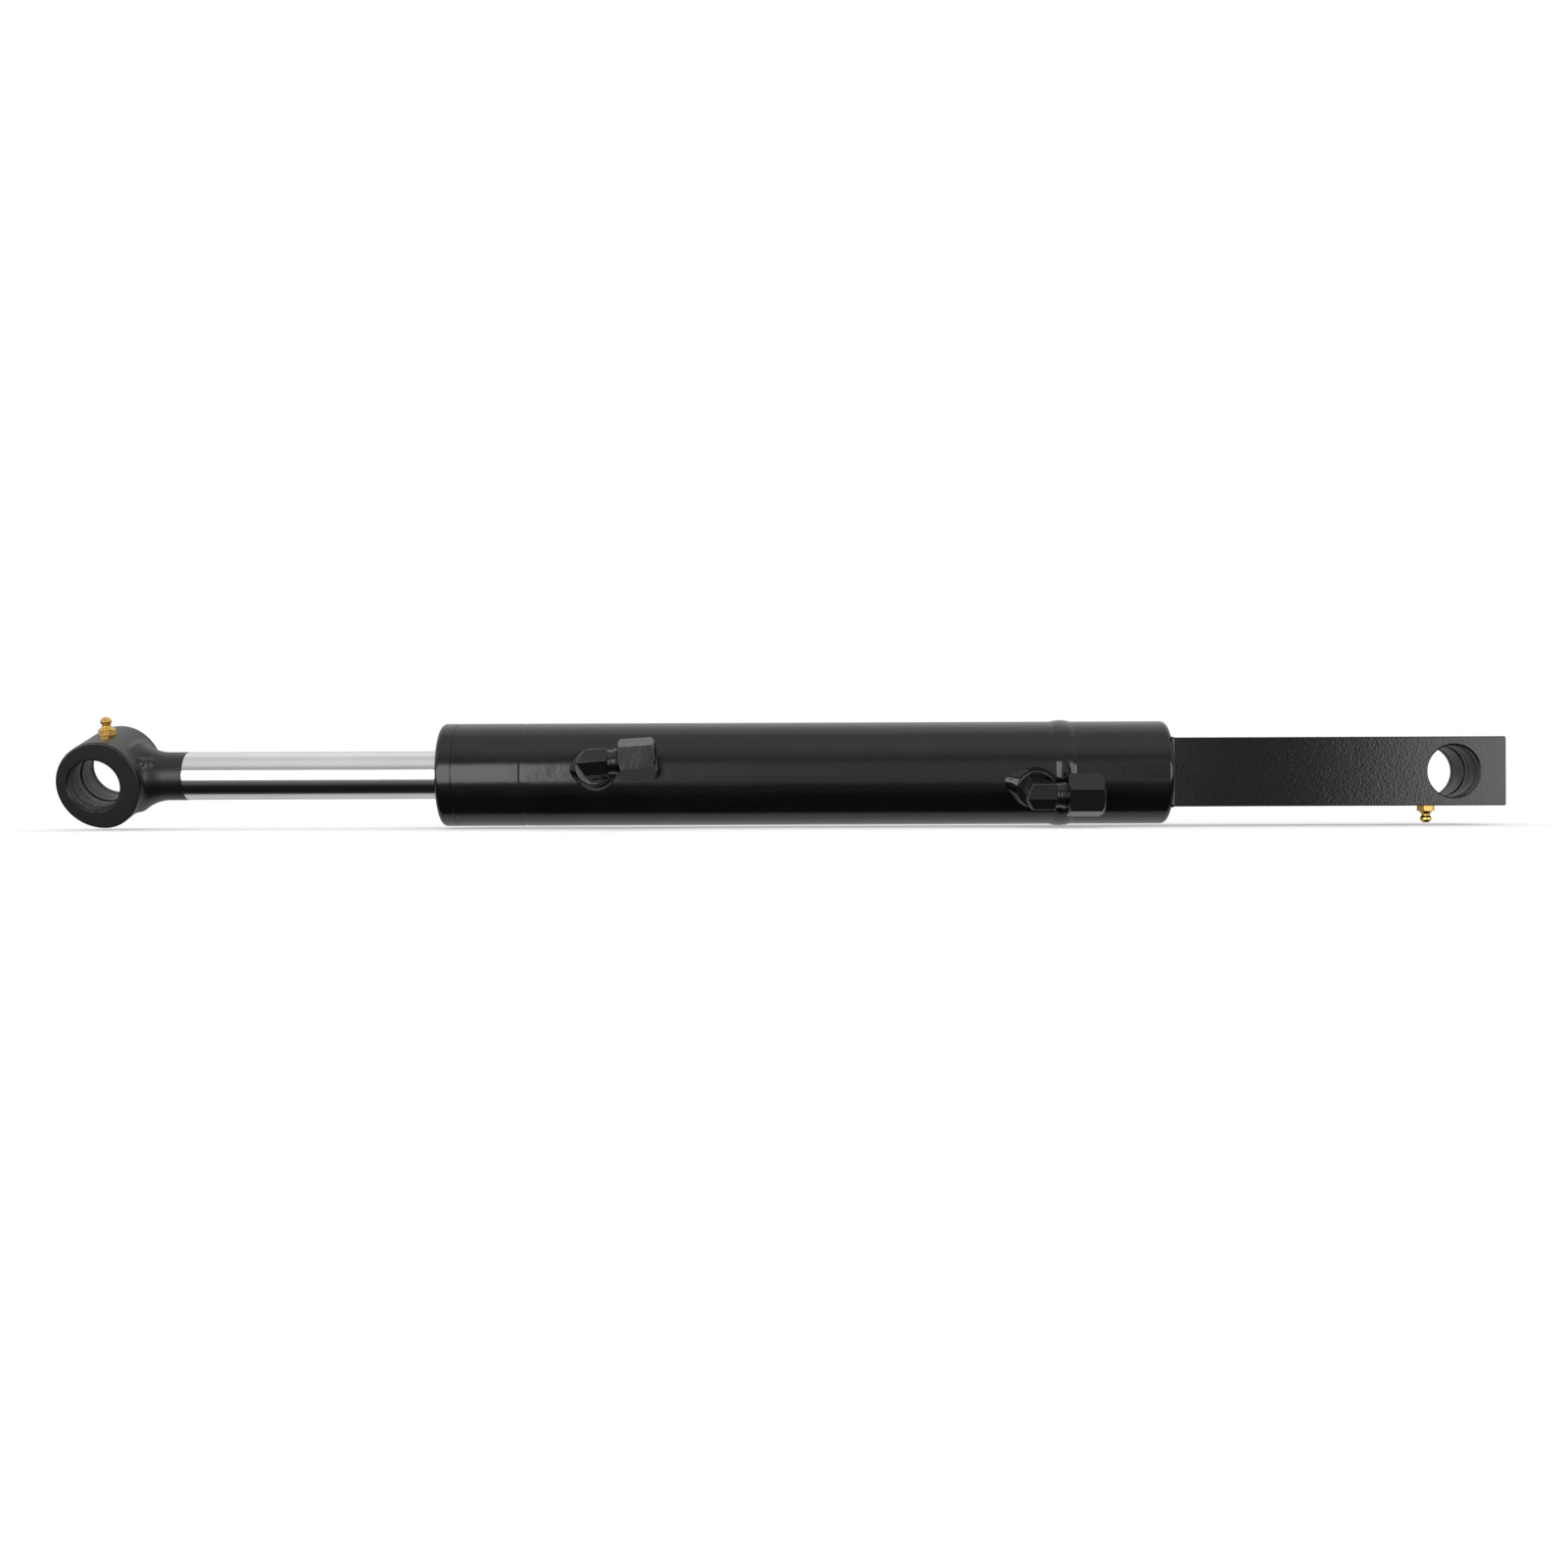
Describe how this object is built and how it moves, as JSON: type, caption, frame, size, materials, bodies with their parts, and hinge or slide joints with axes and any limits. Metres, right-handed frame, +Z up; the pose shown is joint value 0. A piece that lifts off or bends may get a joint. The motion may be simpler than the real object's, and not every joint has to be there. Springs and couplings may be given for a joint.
{
  "type": "hydraulic cylinder",
  "caption": "Double-acting hydraulic cylinder with a chromed rod, tubular rod eye, screwed gland, two elbow ports with swivel nuts and a bar lug at its base.",
  "frame": {"origin": "centre of the base lug's pin bore", "axes": "+X along the cylinder away from the rod eye, +Y along the base pin bore towards the side away from the ports, +Z up"},
  "size_m": [0.835, 0.0873, 0.0657],
  "materials": {
    "black_paint": "gloss black enamel",
    "bar_paint": "satin black, fine orange peel",
    "chrome_rod": "ground hard chrome",
    "brass": "bright yellow-passivated",
    "steel": "machined",
    "bushing_steel": "dark machined, oiled",
    "black_rubber": "smooth nitrile rubber",
    "seal_polyurethane": "smooth polyurethane",
    "guide_ring": "filled PTFE and acetal"
  },
  "bodies": {
    "barrel": {"barrel_tube": "black_paint", "base_cap": "black_paint", "base_weld_bead": "black_paint", "base_lug": "bar_paint", "lug_bushing_front": "bushing_steel", "lug_bushing_rear": "bushing_steel", "lug_pin_seal_front": "black_rubber", "lug_pin_seal_rear": "black_rubber", "lug_grease_nipple": "brass", "lug_nipple_ball": "steel", "lug_nipple_spring": "steel", "rod_port_boss": "black_paint", "rod_port_weld": "black_paint", "rod_port_elbow": "black_paint", "rod_port_elbow_o_ring": "black_rubber", "rod_port_nose_seal": "black_rubber", "rod_port_swivel_wire": "steel", "base_port_boss": "black_paint", "base_port_weld": "black_paint", "base_port_elbow": "black_paint", "base_port_elbow_o_ring": "black_rubber", "base_port_nose_seal": "black_rubber", "base_port_swivel_wire": "steel", "gland": "black_paint", "gland_o_ring": "black_rubber", "gland_backup_ring": "guide_ring", "rod_seal": "seal_polyurethane", "rod_buffer_seal": "seal_polyurethane", "rod_wear_ring": "guide_ring", "rod_wiper": "seal_polyurethane"},
    "piston_rings": {"piston_seal": "guide_ring", "piston_wear_ring_front": "guide_ring", "piston_wear_ring_back": "guide_ring"},
    "rod": {"rod": "chrome_rod", "rod_eye": "black_paint", "eye_bushing_front": "bushing_steel", "eye_bushing_rear": "bushing_steel", "eye_pin_seal_front": "black_rubber", "eye_pin_seal_rear": "black_rubber", "eye_grease_nipple": "brass", "eye_nipple_ball": "steel", "eye_nipple_spring": "steel", "piston": "steel", "piston_lock_nut": "steel", "stop_tube": "steel", "piston_o_ring": "black_rubber", "piston_seal_energizer": "black_rubber"},
    "rod_port_nut": {"rod_port_swivel_nut": "black_paint"},
    "base_port_nut": {"base_port_swivel_nut": "black_paint"}
  },
  "joints": [
    {"name": "rod_slide", "type": "slide", "parent": "barrel", "child": "piston_rings", "axis": [-1, 0, 0], "range_m": [-0.135, 0.065]},
    {"name": "rod_turn", "type": "hinge", "parent": "piston_rings", "child": "rod", "pos_m": [-0.6, 0, 0], "axis": [-1, 0, 0], "continuous": true},
    {"name": "rod_port_swivel", "type": "hinge", "parent": "barrel", "child": "rod_port_nut", "pos_m": [-0.46327, -0.04435, 0.00791], "axis": [0.9976, 0.0091, 0.0692], "continuous": true},
    {"name": "base_port_swivel", "type": "hinge", "parent": "barrel", "child": "base_port_nut", "pos_m": [-0.212, -0.04315, -0.01278], "axis": [1, 0, 0], "continuous": true}
  ]
}
